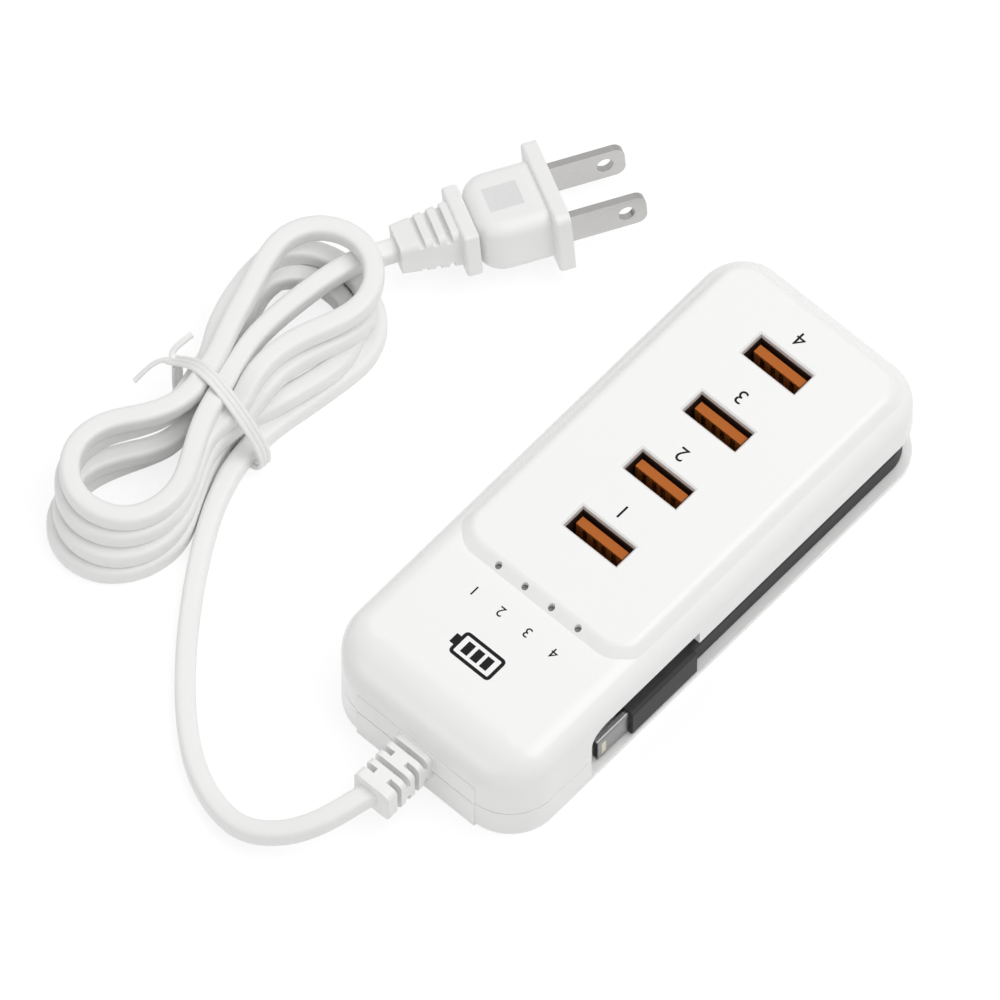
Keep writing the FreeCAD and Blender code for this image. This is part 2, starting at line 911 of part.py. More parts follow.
def board_parts():
    transformer()
    for number, spot in enumerate(bulk_capacitors_at, start=1):
        standing_can(f"bulk_capacitor_{number}", spot, d.bulk_radius, d.bulk_height)
    for number, spot in enumerate(output_capacitors_at, start=1):
        standing_can(f"output_capacitor_{number}", spot, d.output_radius, d.output_height)
    fuse_foot = (fuse_at[0] - d.fuse_length / 2, fuse_at[1], board_top + d.fuse_radius)
    node(add_cylinder("fuse", d.fuse_radius, fuse_foot, d.fuse_length, Vector(1, 0, 0)), "mains_fuse")
    film = on_board("film", film_capacitor_at, d.film_length, d.film_width, d.film_height)
    node(fillet("film_soft", film, d.bead_round, lambda edge: along(edge, "z")), "safety_capacitor")
    ring = doc.addObject("Part::Torus", "choke_ring_core")
    bind(ring, "Radius1", d.choke_ring)
    bind(ring, "Radius2", d.choke_wire)
    place(ring, choke_at[0], choke_at[1], board_top + d.choke_wire)
    node(ring, "line_choke")
    bridge = on_board("bridge", bridge_at, d.bridge_length, d.bridge_width, d.bridge_height)
    node(bridge, "bridge_rectifier")
    chip = on_board("chip", chip_at, d.chip_length, d.chip_width, d.chip_height)
    node(chip, "power_controller")
    diode = on_board("diode", diode_at, d.diode_length, d.diode_width, d.diode_height)
    node(diode, "output_rectifier")


board_parts()

# Tubes along a route of straight runs and tangent arcs


def route_wire(name, points):
    # Each corner gets the largest arc that its two runs allow
    spots = [Vector(*point) for point in points]
    edges, radii, start = [], [], spots[0]
    for before, corner, after in zip(spots, spots[1:], spots[2:]):
        back, ahead = (before - corner), (after - corner)
        turn = math.pi - back.getAngle(ahead)
        setback = 0.45 * min(back.Length, ahead.Length)
        radii.append(setback / math.tan(turn / 2))
        first = corner + back.normalize() * setback
        last = corner + ahead.normalize() * setback
        bisector = (back + ahead).normalize()
        to_arc = radii[-1] / math.cos(turn / 2) - radii[-1]
        edges.append(Part.LineSegment(start, first).toShape())
        edges.append(Part.Arc(first, corner + bisector * to_arc, last).toShape())
        start = last
    edges.append(Part.LineSegment(start, spots[-1]).toShape())
    wire = Part.Wire(edges)
    print(name, "length", round(wire.Length, 1), "radii", [round(radius, 1) for radius in radii])
    return wire


def flat_section(centre, heading):
    # Stadium on edge: two half circles joined by flats, square to the heading
    side = Vector(0, 0, 1).cross(heading).normalize()
    up = heading.cross(side).normalize()
    half = float(d.cord_thickness) / 2
    flat = float(d.cord_width) / 2 - half
    right, left = side * half, side * -half
    corners = [
        centre + right - up * flat,
        centre + right + up * flat,
        centre + left + up * flat,
        centre + left - up * flat,
    ]
    top = centre + up * (flat + half)
    base = centre - up * (flat + half)
    return Part.Wire([
        Part.LineSegment(corners[0], corners[1]).toShape(),
        Part.Arc(corners[1], top, corners[2]).toShape(),
        Part.LineSegment(corners[2], corners[3]).toShape(),
        Part.Arc(corners[3], base, corners[0]).toShape(),
    ])


def sweep(name, wire, section, upright):
    pipe = Part.BRepOffsetAPI.MakePipeShell(wire)
    if upright:
        pipe.setBiNormalMode(Vector(0, 0, 1))
    else:
        pipe.setFrenetMode(False)
    pipe.add(section)
    pipe.build()
    pipe.makeSolid()
    item = doc.addObject("Part::Feature", name)
    item.Shape = pipe.shape()
    expected = Part.Face(section).Area * wire.Length
    print(name, "volume", round(item.Shape.Volume, 1), "against", round(expected, 1))
    return item


def round_lead(name, points):
    # Thin insulated wire
    spots = [Vector(float(x), float(y), float(z)) for x, y, z in points]
    wire = route_wire(name, spots)
    section = Part.Wire([Part.Circle(spots[0], spots[1] - spots[0], float(d.lead_radius)).toShape()])
    return sweep(name, wire, section, False)


# Mains lead: strain relief, lead, hank, tie and tail

grip_inner = near_x + d.wall + d.grip_flange_thickness


def cord_grip():
    outer_face = -far_x
    bar = add_box(
        "grip_bar",
        (outer_face - d.grip_length, outer_face),
        around(as_size(0), d.grip_width),
        around(d.grip_height, d.grip_depth),
    )
    bar_soft = fillet("grip_bar_soft", bar, d.grip_round, lambda edge: along(edge, "x"))
    slots = []
    pitch = d.grip_slot + d.grip_rib
    for number in range(4):
        slot_far = outer_face - d.grip_collar - pitch * number
        slot_x = (slot_far - d.grip_slot, slot_far)
        core = around(d.grip_height, d.grip_core)
        across = around(as_size(0), d.grip_width * 2)
        upright = around(d.grip_height, d.grip_depth * 2)
        if number % 2 == 0:
            gaps = [(across, (core[1], upright[1])), (across, (upright[0], core[0]))]
        else:
            half = d.grip_core / 2
            gaps = [((half, d.grip_width), upright), ((-d.grip_width, -half), upright)]
        for letter, (y, z) in zip("ab", gaps):
            slots.append(add_box(f"grip_slot_{number}{letter}", slot_x, y, z))
    bar_slotted = cut("grip_slotted", bar_soft, *slots)
    neck = add_box(
        "grip_neck_bar",
        (outer_face, near_x + d.wall),
        around(as_size(0), d.grip_neck),
        (grip_low, grip_high),
    )
    flange = add_box(
        "grip_flange_plate",
        (near_x + d.wall, grip_inner),
        around(as_size(0), d.grip_flange),
        around(d.grip_height, d.grip_flange),
    )
    node(fuse("grip", bar_slotted, neck, flange), "cord_grip")


def mains_leads():
    # From the strain relief's inner face up on to the board's near end
    leads = []
    rise = board_top + d.lead_radius
    gap = d.cord_width / 4
    for letter, y in zip("ab", (gap, -gap)):
        points = [
            (grip_inner, y, d.grip_height),
            (grip_inner + d.grip_flange_thickness, y, d.grip_height),
            (board_x[0] - d.grip_flange_thickness, y, rise),
            (board_x[0] + d.grip_flange_thickness, y, rise),
        ]
        leads.append(round_lead(f"mains_lead_{letter}", points))
    node(fuse("mains_lead_pair", *leads), "mains_leads")


def loop_outline(centre_x, towards, radius, waist_half):
    # A round loop end with straight sides that close in on the waist
    axis_y = float(d.hank_axis_y)
    centre = Vector(centre_x, axis_y, 0)
    reach = abs(float(d.waist_x) - centre_x)
    slant = math.asin((radius - waist_half) / reach)
    upper = centre + Vector(towards * math.sin(slant), math.cos(slant), 0) * radius
    lower = centre + Vector(towards * math.sin(slant), -math.cos(slant), 0) * radius
    return upper, centre - Vector(towards * radius, 0, 0), lower


def hank_face(shrink):
    # The two loops and the waist between them, moved in by shrink
    radius = float(d.hank_loop_radius) - shrink
    neck = float(d.waist_neck)
    waist = float(d.waist_x)
    axis_y = float(d.hank_axis_y)
    near_loop = loop_outline(float(d.hank_near_x), 1, radius, neck)
    far_loop = loop_outline(float(d.hank_far_x), -1, radius, neck)
    return near_loop, far_loop, Vector(waist, axis_y + neck, 0), Vector(waist, axis_y - neck, 0)


def closed_face(near_loop, far_loop, high, low):
    edges = [
        Part.Arc(*near_loop).toShape(),
        Part.LineSegment(near_loop[2], low).toShape(),
        Part.LineSegment(low, far_loop[2]).toShape(),
        Part.Arc(far_loop[2], far_loop[1], far_loop[0]).toShape(),
        Part.LineSegment(far_loop[0], high).toShape(),
        Part.LineSegment(high, near_loop[0]).toShape(),
    ]
    return Part.Face(Part.Wire(edges))


def loop_hole(loop, tip):
    edges = [
        Part.Arc(*loop).toShape(),
        Part.LineSegment(loop[2], tip).toShape(),
        Part.LineSegment(tip, loop[0]).toShape(),
    ]
    return Part.Face(Part.Wire(edges))


plug_turn = math.radians(float(d.plug_turn))
plug_heading = Vector(math.cos(plug_turn), math.sin(plug_turn), 0)
plug_rear = d.flange_thickness + d.barrel_length + d.collar_thickness + d.relief_length
plug_roll = math.radians(abs(float(d.plug_roll)))
# The rolled plug rests on one rounded corner of its flange
corner_out = float(d.flange_width / 2 - d.flange_corner) * math.sin(plug_roll)
corner_down = float(d.flange_height / 2 - d.flange_corner) * math.cos(plug_roll)
plug_lift = corner_out + corner_down + float(d.flange_corner)
plug_place = Placement(
    Vector(float(d.plug_x), float(d.plug_y), plug_lift),
    Rotation(Vector(0, 0, 1), float(d.plug_turn)) * Rotation(Vector(1, 0, 0), float(d.plug_roll)),
)
tail_end = plug_place.multVec(Vector(-float(plug_rear), 0, 0))
tail_start = plug_place.multVec(Vector(-float(plug_rear + d.tail_length), 0, 0))


def cord_hank():
    height = Vector(0, 0, float(d.hank_height))
    outline = closed_face(*hank_face(0)).extrude(height)
    near_loop, far_loop, _, _ = hank_face(float(d.hank_bundle))
    inset = float(d.waist_length) / 2
    axis_y = float(d.hank_axis_y)
    near_tip = Vector(float(d.waist_x) - inset, axis_y, 0)
    far_tip = Vector(float(d.waist_x) + inset, axis_y, 0)
    holes = [loop_hole(near_loop, near_tip).extrude(height), loop_hole(far_loop, far_tip).extrude(height)]
    ring = doc.addObject("Part::Feature", "hank_ring")
    ring.Shape = outline.cut(holes)
    waist = add_box(
        "hank_waist",
        around(d.waist_x, d.waist_length),
        (d.waist_low_y, d.waist_high_y),
        (0, d.hank_height),
    )
    tie_way = add_box(
        "tie_way",
        around(d.waist_x, d.tie_width + d.loose_gap * 2),
        (d.waist_low_y - d.tie_width, d.waist_high_y + d.tie_width),
        (-d.tie_thickness, d.tie_thickness + d.loose_gap),
    )
    flat = add_box(
        "tail_flat",
        (0, d.hank_loop_radius * 2),
        around(as_size(0), d.hank_loop_radius * 4),
        (-d.tie_thickness, d.hank_height + d.tie_thickness),
    )
    flat.setExpression(".Placement.Base.x", None)
    flat.setExpression(".Placement.Base.y", None)
    flat.setExpression(".Placement.Base.z", None)
    turned = Rotation(Vector(0, 0, 1), float(d.plug_turn))
    aside = turned.multVec(Vector(0, 2 * float(d.hank_loop_radius), 0))
    corner = Vector(tail_start.x, tail_start.y, -float(d.tie_thickness)) - aside
    flat.Placement = Placement(corner, turned)
    return node(cut("hank", fuse("hank_bundle_all", ring, waist), tie_way, flat), "cord_hank")


def twist_tie():
    x = around(d.waist_x, d.tie_width)
    inner_y = (d.waist_low_y - d.loose_gap, d.waist_high_y + d.loose_gap)
    inner_z = (d.tie_thickness, d.hank_height + d.loose_gap)
    outer_y = (inner_y[0] - d.tie_thickness, inner_y[1] + d.tie_thickness)
    outer_z = (as_size(0), inner_z[1] + d.tie_thickness)
    band = add_box("tie_band", x, outer_y, outer_z)
    room = add_box("tie_room", around(d.waist_x, d.tie_width * 2), inner_y, inner_z)
    band_soft = fillet("tie_band_soft", band, d.tie_thickness, lambda edge: along(edge, "x"))
    ring = cut("tie_ring", band_soft, room)
    knot_z = around(d.hank_height / 2 + d.tie_width, d.tie_width)
    thin_z = around(knot_z[1] - d.tie_width / 2, d.tie_thickness)
    end_a = add_box(
        "tie_end_a",
        (x[0] - d.tie_tail, x[1]),
        (outer_y[1], outer_y[1] + d.tie_thickness),
        knot_z,
    )
    end_b = add_box("tie_end_b", x, (outer_y[1], outer_y[1] + d.tie_tail), thin_z)
    node(fuse("tie", ring, end_a, end_b), "twist_tie")


def cord_pieces():
    hank = cord_hank()
    doc.recompute()
    route = [Vector(*point) for point in lead_route]
    wire = route_wire("mains_cord", route)
    lead = sweep("lead_tube", wire, flat_section(route[0], Vector(-1, 0, 0)), True)
    node(cut("lead_trimmed", lead, hank), "mains_cord")
    tail_wire = Part.Wire([Part.LineSegment(tail_start, tail_end).toShape()])
    tail = sweep("tail_tube", tail_wire, flat_section(tail_start, plug_heading), True)
    node(tail, "cord_tail")
    twist_tie()


cord_grip()
mains_leads()
cord_pieces()

# Mains plug, built along +X with the middle of its front face at the origin, then laid in its place


def lay_plug(item, name):
    laid = doc.addObject("Part::Compound", name + "_laid")
    laid.Links = [item]
    laid.Placement = plug_place
    return node(laid, name)


def plug_blade(number, y):
    plate = add_box(
        f"blade_plate_{number}",
        (-d.blade_root, d.blade_length),
        around(y, d.blade_thickness),
        around(as_size(0), d.blade_height),
    )
    tip = lambda edge: along(edge, "y") and near(edge.BoundBox.XMax, d.blade_length)
    rounded = fillet(f"blade_soft_{number}", plate, d.blade_tip_round, tip)
    hole = add_cylinder(
        f"blade_hole_{number}",
        d.blade_hole_radius,
        (d.blade_hole_reach, y - d.blade_thickness, as_size(0)),
        d.blade_thickness * 2,
        Vector(0, 1, 0),
    )
    return cut(f"blade_{number}", rounded, hole)


def plug_relief():
    # Tapered tail with slots across its top and underside
    root = -d.flange_thickness - d.barrel_length - d.collar_thickness
    tip = root - d.relief_length
    taper = doc.addObject("Part::Wedge", "relief_taper")
    wide, slim = d.relief_root_width / 2, d.relief_tip_width / 2
    tall, low = d.relief_root_height / 2, d.relief_tip_height / 2
    # The wedge tapers along its own Y, which is turned to face the cord
    values = {
        "Ymin": as_size(0), "Ymax": d.relief_length,
        "Xmin": -wide, "Xmax": wide, "Zmin": -tall, "Zmax": tall,
        "X2min": -slim, "X2max": slim, "Z2min": -low, "Z2max": low,
    }
    for path, size in values.items():
        bind(taper, path, size)
    taper.Placement = Placement(Vector(), Rotation(Vector(0, 0, 1), 90))
    place(taper, root, as_size(0), as_size(0))
    lengthwise = lambda edge: edge.BoundBox.XLength > float(d.relief_length) / 2
    soft = fillet("relief_soft", taper, d.grip_round, lengthwise)
    slot_floor = low - d.relief_slot_depth + d.relief_slot / 2
    slots = []
    for number in range(3):
        slot_far = root - d.relief_slot_pitch * (number + 1) + d.relief_slot
        x = (slot_far - d.relief_slot, slot_far)
        y = around(as_size(0), d.relief_root_width * 2)
        slots.append(add_box(f"relief_slot_top_{number}", x, y, (slot_floor, tall * 2)))
        slots.append(add_box(f"relief_slot_base_{number}", x, y, (-tall * 2, -slot_floor)))
    return cut("relief", soft, *slots)


def plug_flange():
    rear = -d.flange_thickness
    plate = add_box(
        "flange_plate",
        (rear, 0),
        around(as_size(0), d.flange_width),
        around(as_size(0), d.flange_height),
    )
    cornered = fillet("flange_cornered", plate, d.flange_corner, lambda edge: along(edge, "x"))
    at_rear = lambda edge: near(edge.BoundBox.XMin, rear) and near(edge.BoundBox.XMax, rear)
    return fillet("flange_soft", cornered, d.flange_edge, at_rear)


def plug_barrel(rear, front):
    block = add_box(
        "barrel_block",
        (rear, front),
        around(as_size(0), d.barrel_width),
        around(as_size(0), d.barrel_height),
    )
    shoulder = lambda edge: along(edge, "z") and near(edge.BoundBox.XMax, rear)
    cornered = fillet("barrel_cornered", block, d.barrel_shoulder, shoulder)

    def rim(edge):
        level = at_height(edge, d.barrel_height / 2) or at_height(edge, -d.barrel_height / 2)
        return level and not near(edge.BoundBox.XMin, front)

    return fillet("barrel_soft", cornered, d.barrel_round, rim)


def mains_plug():
    barrel_far = -d.flange_thickness
    barrel_near = barrel_far - d.barrel_length
    thumb = add_box(
        "thumb_rest",
        around(barrel_far - d.barrel_length / 2, d.thumb_length),
        around(as_size(0), d.thumb_width),
        (d.barrel_height / 2 - d.thumb_sink, d.barrel_height),
    )
    collar = add_box(
        "plug_collar",
        (barrel_near - d.collar_thickness, barrel_near),
        around(as_size(0), d.collar_width),
        around(as_size(0), d.collar_height),
    )
    collar_soft = fillet("plug_collar_soft", collar, d.flange_edge, lambda edge: True)
    half_pitch = d.blade_pitch / 2
    blades = [plug_blade(number, y) for number, y in enumerate((half_pitch, -half_pitch), start=1)]
    barrel = plug_barrel(barrel_near, barrel_far)
    moulding = fuse("plug_moulding", plug_flange(), barrel, collar_soft, plug_relief())
    lay_plug(cut("plug", moulding, thumb, *blades), "plug_body")
    for number, blade in enumerate(blades, start=1):
        lay_plug(blade, f"plug_blade_{number}")


mains_plug()

# Charge lead in its groove

boot_x = (pocket_far_x - d.fit_gap * 5 - d.boot_length, pocket_far_x - d.fit_gap * 5)
boot_y = (-half_width + d.fit_gap, -half_width + d.fit_gap + d.boot_thickness)


def charge_cable():
    outer = corner_core("cable_outer_core", cable_outer)
    inner = corner_core("cable_inner_core", cable_inner)
    span = add_box(
        "cable_span",
        (boot_x[1], far_x + past),
        (-half_width - past, -d.channel_end + d.wall + d.cable_inner_length),
        (d.groove_floor, d.groove_floor + d.cable_height),
    )
    flat = common("cable_flat", cut("cable_ring", outer, inner), span)
    end_y = -d.channel_end + d.wall + d.cable_inner_length
    low, high = d.groove_floor, d.groove_floor + d.cable_height

    def lengthwise(edge):
        at_end = near(edge.BoundBox.XMax, boot_x[1]) or near(edge.BoundBox.YMin, end_y)
        return (at_height(edge, low) or at_height(edge, high)) and not at_end

    node(fillet("cable_soft", flat, d.cable_round, lengthwise), "charge_cable")


def charge_plug():
    boot = add_box("boot_block", boot_x, boot_y, (d.groove_floor, d.groove_floor + d.boot_height))
    node(fillet("boot_soft", boot, d.boot_round, lambda edge: along(edge, "x")), "charge_plug_boot")
    tip_x = (boot_x[0] - d.tip_length, boot_x[0])
    tip_y = (-half_width + d.tip_inset, -half_width + d.tip_inset + d.tip_thickness)
    tip_z = around(d.groove_floor + d.boot_height / 2, d.tip_width)
    blank = add_box("tip_sleeve", tip_x, tip_y, tip_z)
    sleeve = fillet("tip_soft", blank, d.tip_round, lambda edge: along(edge, "x"))
    core = add_box(
        "tip_core",
        tip_x,
        (tip_y[0] + d.tip_sheet, tip_y[1] - d.tip_sheet),
        (tip_z[0] + d.tip_sheet * 2, tip_z[1] - d.tip_sheet * 2),
    )
    pads = []
    middle = d.groove_floor + d.boot_height / 2
    pad_x = (tip_x[0] + d.pad_tip_gap, tip_x[0] + d.pad_tip_gap + d.pad_length)
    pad_y = (tip_y[0], tip_y[0] + d.pad_thickness)
    for number in range(8):
        pad_z = around(middle + d.pad_pitch * (number - 3.5), d.pad_height)
        pads.append(add_box(f"pad_{number}", pad_x, pad_y, pad_z))
    pad_group = fuse("pads", *pads)
    node(cut("tip_shell", sleeve, core, pad_group), "charge_plug_shell")
    node(core, "charge_plug_core")
    node(pad_group, "charge_plug_contacts")


def charge_leads():
    # From the cable's inner end to the board's far edge
    leads = []
    end_y = -d.channel_end + d.wall + d.cable_inner_length
    cable_x = far_x - (cable_outer + cable_inner) / 2
    middle = d.groove_floor + d.cable_height / 2
    rise = board_top + d.lead_radius
    for letter, side, reach in (("a", -1, d.lead_reach_low), ("b", 1, d.lead_reach_high)):
        z = middle + d.lead_radius * 1.4 * side
        points = [
            (cable_x, end_y, z),
            (cable_x, end_y + reach * 0.45, z),
            (cable_x - d.lead_radius, end_y + reach, rise),
            (board_x[1] - d.cable_thickness, end_y + reach * 1.25, rise),
        ]
        leads.append(round_lead(f"charge_lead_{letter}", points))
    node(fuse("charge_lead_pair", *leads), "charge_leads")


charge_cable()
charge_plug()
charge_leads()

# Check every object, then write one file for each sub-part

doc.recompute()
for item in doc.Objects:
    if {"Invalid", "Error"} & set(item.State):
        raise RuntimeError(f"{item.Name} did not build: {item.State}")
for name, item in nodes:
    shape = item.Shape
    if shape.isNull() or not shape.isValid() or not shape.Solids:
        raise RuntimeError(f"{name} has no valid solid")

os.makedirs("parts", exist_ok=True)
for name, item in nodes:
    item.Shape.exportStep(f"parts/{name}.step")
print(len(nodes), "sub-parts written")
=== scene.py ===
import bpy
import math
from mathutils import Matrix, Vector


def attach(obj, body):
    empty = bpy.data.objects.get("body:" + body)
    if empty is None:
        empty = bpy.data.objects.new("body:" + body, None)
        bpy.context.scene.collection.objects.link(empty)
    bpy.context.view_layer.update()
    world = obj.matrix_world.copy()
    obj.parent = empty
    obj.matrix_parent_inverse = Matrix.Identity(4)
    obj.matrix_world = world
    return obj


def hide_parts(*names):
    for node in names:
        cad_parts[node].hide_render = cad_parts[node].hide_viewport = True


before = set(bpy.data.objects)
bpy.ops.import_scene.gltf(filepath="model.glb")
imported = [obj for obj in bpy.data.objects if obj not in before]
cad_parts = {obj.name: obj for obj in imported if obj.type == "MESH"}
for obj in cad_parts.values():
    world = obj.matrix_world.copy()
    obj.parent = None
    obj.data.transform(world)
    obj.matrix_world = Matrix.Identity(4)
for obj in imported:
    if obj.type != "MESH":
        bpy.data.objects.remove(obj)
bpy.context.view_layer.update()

mm = 0.001  # pieces are given in millimetres, Blender works in metres
scene = bpy.context.scene
scene.view_settings.view_transform = "Standard"
print("frame loaded:", len(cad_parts), "nodes")


# Small helpers

def hexColor(text, share=1.0):
    # sRGB hex to the linear values that the shaders take, darkened to a share of them
    parts = [int(text[i:i + 2], 16) / 255 for i in (1, 3, 5)]
    linear = [c / 12.92 if c <= 0.04045 else ((c + 0.055) / 1.055) ** 2.4 for c in parts]
    return [c * share for c in linear] + [1.0]


def addNode(material, kind, settings=None, links=None):
    # one node with its settings; links maps its sockets to (node, socket) pairs
    tree = material.node_tree
    node = tree.nodes.new(kind)
    for key, value in (settings or {}).items():
        if isinstance(key, int) or key in node.inputs:
            node.inputs[key].default_value = value
        else:
            setattr(node, key, value)
    for socket, (source, output) in (links or {}).items():
        tree.links.new(source.outputs[output], node.inputs[socket])
    return node


def newMaterial(name, surface):
    material = bpy.data.materials.new(name)
    material.use_nodes = True
    shader = material.node_tree.nodes["Principled BSDF"]
    for key, value in surface.items():
        shader.inputs[key].default_value = value
    return material, shader


def deselect():
    if bpy.context.object and bpy.context.object.mode != "OBJECT":
        bpy.ops.object.mode_set(mode="OBJECT")
    bpy.ops.object.select_all(action="DESELECT")


def pick(*objs):
    # these alone are selected, and the first is active
    deselect()
    for obj in objs:
        obj.select_set(True)
    bpy.context.view_layer.objects.active = objs[0]


def settle(obj, material):
    # put the object's place into its mesh, give it its finish and let it ride on the housing
    pick(obj)
    bpy.ops.object.transform_apply(location=True, rotation=True, scale=True)
    obj.data.materials.clear()
    obj.data.materials.append(material)
    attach(obj, "root")
    return obj


def numbered(stem, count):
    return [f"{stem}_{i + 1}" for i in range(count)]


# Materials

mixA, mixB, mixOut = 6, 7, 2  # a Mix node's two colours and its mixed colour, by socket number
plasticSkin = {"cloudMm": 18, "cloudDetail": 3.0, "grainDetail": 2.0, "bump": 0.35, "ior": 1.5}
metalSkin = {
    "detail": 4.0,
    "roughness": (0.75, 1.35),  # from the smoothest to the roughest streak
    "dark": 0.88,  # the darkest streak's share of the colour
    "bump": 0.2,
    "depthMm": 0.01,
}


def mouldedPlastic(name, color, roughness, grainMm, grainDepth, tone=0.0, specular=0.5):
    # out of a mould: even colour, a soft clouding, and a fine skin that breaks the highlight
    s = plasticSkin
    surface = {"Roughness": roughness, "IOR": s["ior"], "Specular IOR Level": specular}
    material, shader = newMaterial(name, surface)
    links = material.node_tree.links
    place = addNode(material, "ShaderNodeTexCoord")
    cloud = addNode(
        material, "ShaderNodeTexNoise",
        {"Scale": 1 / (s["cloudMm"] * mm), "Detail": s["cloudDetail"]},
        {"Vector": (place, "Object")})
    shade = addNode(
        material, "ShaderNodeMix",
        {"data_type": "RGBA", mixA: hexColor(color, 1 - tone), mixB: hexColor(color)},
        {"Factor": (cloud, "Fac")})
    grain = addNode(
        material, "ShaderNodeTexNoise",
        {"Scale": 1 / (grainMm * mm), "Detail": s["grainDetail"]}, {"Vector": (place, "Object")})
    bump = addNode(
        material, "ShaderNodeBump",
        {"Strength": s["bump"], "Distance": grainDepth * mm}, {"Height": (grain, "Fac")})
    links.new(shade.outputs[mixOut], shader.inputs["Base Color"])
    links.new(bump.outputs["Normal"], shader.inputs["Normal"])
    return material


def platedMetal(name, color, roughness, streakMm, stretch, metallic=1.0):
    # drawn or stamped sheet: fine streaks along the way it was worked, read as uneven gloss
    s = metalSkin
    material, shader = newMaterial(name, {"Metallic": metallic})
    links = material.node_tree.links
    place = addNode(material, "ShaderNodeTexCoord")
    turn = addNode(material, "ShaderNodeMapping", {"Scale": stretch}, {"Vector": (place, "Object")})
    streak = addNode(
        material, "ShaderNodeTexNoise",
        {"Scale": 1 / (streakMm * mm), "Detail": s["detail"]}, {"Vector": (turn, "Vector")})
    smooth, rough = [roughness * share for share in s["roughness"]]
    gloss = addNode(
        material, "ShaderNodeMapRange",
        {"To Min": smooth, "To Max": rough}, {"Value": (streak, "Fac")})
    tint = addNode(
        material, "ShaderNodeMix",
        {"data_type": "RGBA", mixA: hexColor(color, s["dark"]), mixB: hexColor(color)},
        {"Factor": (streak, "Fac")})
    bump = addNode(
        material, "ShaderNodeBump",
        {"Strength": s["bump"], "Distance": s["depthMm"] * mm}, {"Height": (streak, "Fac")})
    links.new(tint.outputs[mixOut], shader.inputs["Base Color"])
    links.new(gloss.outputs["Result"], shader.inputs["Roughness"])
    links.new(bump.outputs["Normal"], shader.inputs["Normal"])
    return material


def shearEdges(material, across, color, faceFrom=0.75, faceFull=0.95):
    # a stamped strip: its two broad faces are rolled bright, the sheared edges are greyer
    shader = material.node_tree.nodes["Principled BSDF"]
    rolled = shader.inputs["Base Color"].links[0].from_node
    facing = addNode(material, "ShaderNodeTexCoord")
    lined = addNode(
        material, "ShaderNodeVectorMath", {"operation": "DOT_PRODUCT", 1: across},
        {0: (facing, "Normal")})
    size = addNode(material, "ShaderNodeMath", {"operation": "ABSOLUTE"}, {0: (lined, "Value")})
    face = addNode(
        material, "ShaderNodeMapRange", {"From Min": faceFrom, "From Max": faceFull},
        {"Value": (size, 0)})
    both = addNode(
        material, "ShaderNodeMix", {"data_type": "RGBA", mixA: hexColor(color)},
        {"Factor": (face, "Result"), mixB: (rolled, mixOut)})
    material.node_tree.links.new(both.outputs[mixOut], shader.inputs["Base Color"])


# plastics: colour, roughness, then the skin's grain and its depth in mm
# polished mould, clear highlights and a faint orange peel
whiteAbs = mouldedPlastic("gloss white ABS", "#F8F8F7", 0.24, 1.1, 0.004, tone=0.01)
# softer gloss than the housing
softPvc = mouldedPlastic("white PVC", "#F6F6F5", 0.42, 0.5, 0.006, tone=0.02)
# dry, hardly any gloss
orangeNylon = mouldedPlastic(
    "orange nylon", "#C06C2E", 0.55, 0.35, 0.008, tone=0.10, specular=0.12)
# rubbery, fine matt skin
blackTpe = mouldedPlastic("black TPE", "#272729", 0.62, 0.30, 0.02, tone=0.12)
# black LCP, darkened past its own black as painted shade of the pocket it sits in; no shine
blackInsertAndShade = mouldedPlastic(
    "black LCP insert darkened with painted shade", "#0F0F10", 0.45, 0.3, 0.01, tone=0.1, specular=0.12)
# smooth and glossy; its grey is painted shade, standing for the dark hole behind the pipe
lightPipePaintedShade = mouldedPlastic("acrylic light pipe grey with painted shade", "#77797A", 0.18, 0.6, 0.002, tone=0.1)
# inside the housing: lacquer, fired powder, matt packages, smooth films and soft wire
solderMask = mouldedPlastic("green solder mask", "#17502F", 0.35, 0.8, 0.01, tone=0.15)
ferrite = mouldedPlastic("sintered ferrite", "#2E2E30", 0.55, 0.25, 0.03, tone=0.2)
blackEpoxy = mouldedPlastic("moulded epoxy package", "#202022", 0.5, 0.2, 0.02, tone=0.15)
yellowTape = mouldedPlastic("yellow polyester tape", "#D8B02A", 0.3, 0.6, 0.01, tone=0.08)
sleeveBlue = mouldedPlastic("shrink sleeve", "#22305C", 0.3, 0.6, 0.01, tone=0.1)
redPvc = mouldedPlastic("red PVC insulation", "#A32A22", 0.45, 0.4, 0.01, tone=0.08)
lampResin = mouldedPlastic("lamp resin", "#E6D9A0", 0.25, 0.3, 0.004, tone=0.05)
# flat black print
padInk = mouldedPlastic(
    "black pad-print ink", "#161617", 0.5, 0.2, 0.002, tone=0.05, specular=0.12)
# even pale grey of an eroded mould
greyPad = mouldedPlastic("spark-textured PVC", "#EAEAEA", 0.6, 0.12, 0.03, tone=0.10)
# glassy
fuseTube = mouldedPlastic("fuse tube", "#DDE3E2", 0.12, 0.6, 0.002, tone=0.05)

# metals: colour, roughness, then the streaks' width in mm and how they stretch
# plated shell whose dark brown-black is painted shade of the port's inside, put into the shell's
# own colour
socketShellPaintedShade = platedMetal(
    "socket shell with painted port shade", "#4E3C33", 0.45, 0.5, (1, 1, 0.12), metallic=0.55)
# bright rolled faces
bladeNickel = platedMetal("nickel-plated brass blade", "#CBCAC8", 0.22, 0.5, (0.2, 0.35, 1.0))
# streaked along its length
tipSteel = platedMetal("drawn stainless sleeve", "#929292", 0.30, 0.4, (0.1, 1, 1))
# warm and thin, or paler on the small pads
goldFlash = platedMetal("gold-flashed contact", "#E3C675", 0.25, 0.3, (1, 1, 0.3))
paleGold = platedMetal("pale gold contact pad", "#F2EBD0", 0.35, 0.3, (1, 1, 1))
